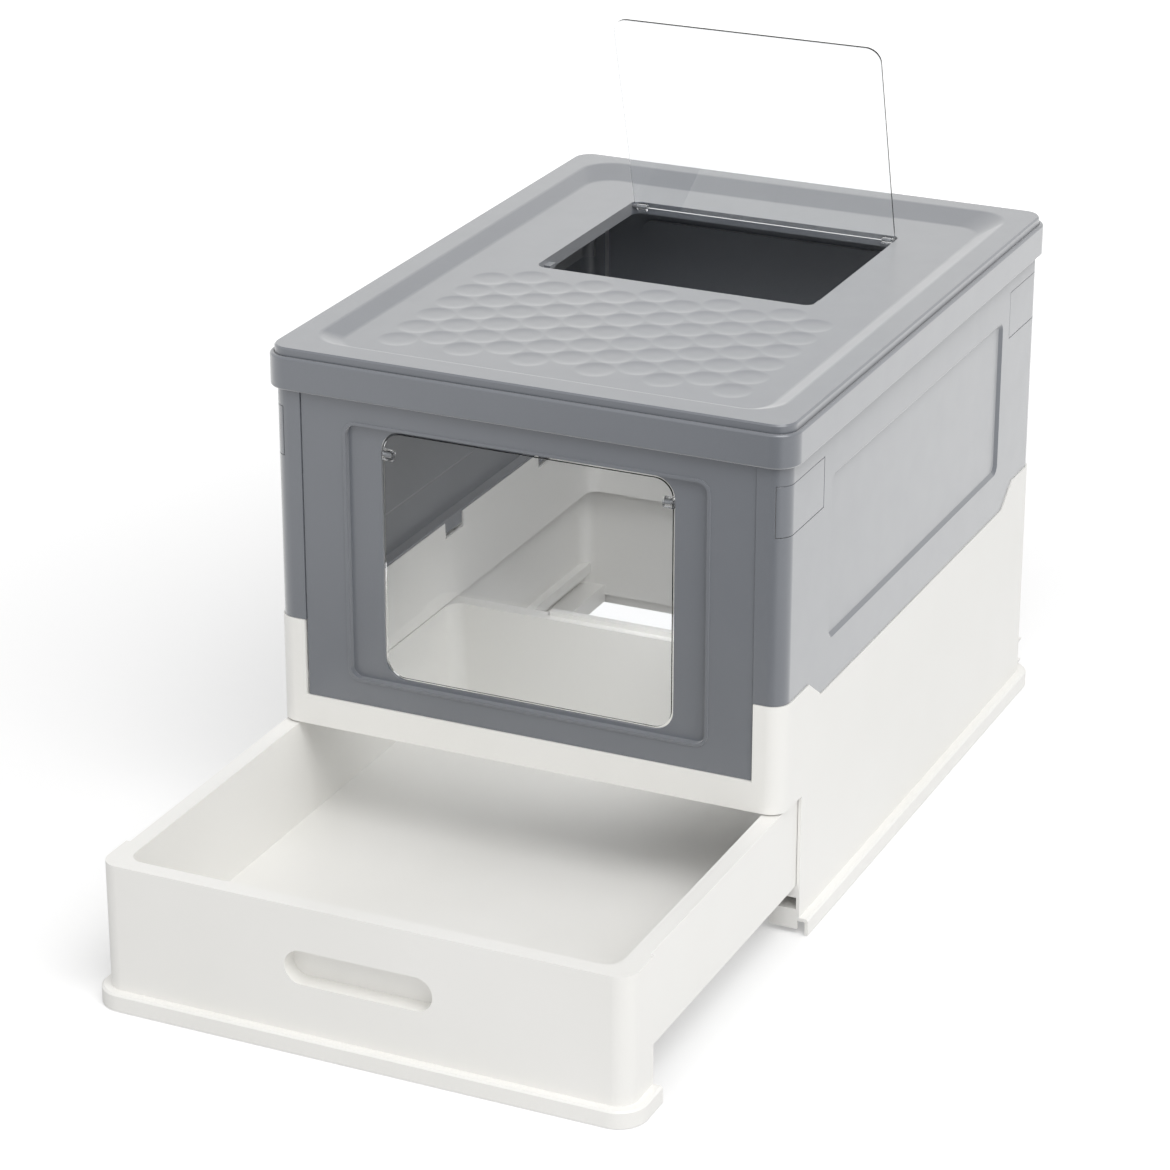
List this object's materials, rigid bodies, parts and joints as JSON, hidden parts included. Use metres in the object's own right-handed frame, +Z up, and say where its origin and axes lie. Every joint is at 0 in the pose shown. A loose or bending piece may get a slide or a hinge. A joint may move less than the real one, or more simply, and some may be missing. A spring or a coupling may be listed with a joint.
{
  "type": "drawer litter box",
  "caption": "Folding enclosed litter box: white case with a pull-out drawer, grey folding walls, clear entry flap, dished lid with a clear hatch.",
  "frame": {"origin": "on the floor, at the centre of the object's box with the drawer standing open", "axes": "+X to the right along the front, +Y to the back, +Z up"},
  "size_m": [0.414, 0.804, 0.5573],
  "materials": {
    "white_plastic": "white polypropylene, fine satin gloss",
    "grey_plastic": "mid grey polypropylene, satin",
    "clear_plastic": "clear, slightly smoky plastic sheet",
    "pin_plastic": "grey moulded pin"
  },
  "bodies": {
    "case": {"base_frame": "white_plastic", "left_side_wall": "grey_plastic", "right_side_wall": "grey_plastic", "front_left_clip": "grey_plastic", "front_right_clip": "grey_plastic", "rear_left_clip": "grey_plastic", "rear_right_clip": "grey_plastic", "front_hinge_pins": "pin_plastic", "rear_hinge_pins": "pin_plastic", "left_hinge_rod": "pin_plastic", "right_hinge_rod": "pin_plastic"},
    "drawer_body": {"drawer": "white_plastic"},
    "front_panel": {"front_wall": "grey_plastic", "flap_pin_left": "pin_plastic", "flap_pin_right": "pin_plastic"},
    "flap": {"entry_flap": "clear_plastic"},
    "rear_panel": {"rear_wall": "grey_plastic"},
    "top": {"top_frame": "grey_plastic", "top_lid": "grey_plastic", "hatch_pin_left": "pin_plastic", "hatch_pin_right": "pin_plastic"},
    "hatch": {"top_hatch": "clear_plastic"}
  },
  "joints": [
    {"name": "drawer_slide", "type": "slide", "parent": "case", "child": "drawer_body", "axis": [0, -1, 0], "range_m": [-0.258, 0.242]},
    {"name": "top_lift", "type": "slide", "parent": "case", "child": "top", "axis": [0, 0, 1], "range_m": [0, 0.15]},
    {"name": "hatch_hinge", "type": "hinge", "parent": "top", "child": "hatch", "pos_m": [0, 0.303, 0.3932], "axis": [-1, 0, 0], "range_deg": [-74.5, 35.5]},
    {"name": "front_wall_fold", "type": "hinge", "parent": "case", "child": "front_panel", "pos_m": [0, -0.1293, 0.139], "axis": [-1, 0, 0], "range_deg": [0, 90]},
    {"name": "flap_hinge", "type": "hinge", "parent": "front_panel", "child": "flap", "pos_m": [0, -0.1285, 0.33], "axis": [-1, 0, 0], "range_deg": [-80, 80]},
    {"name": "rear_wall_fold", "type": "hinge", "parent": "case", "child": "rear_panel", "pos_m": [0, 0.3873, 0.139], "axis": [1, 0, 0], "range_deg": [0, 90]}
  ]
}
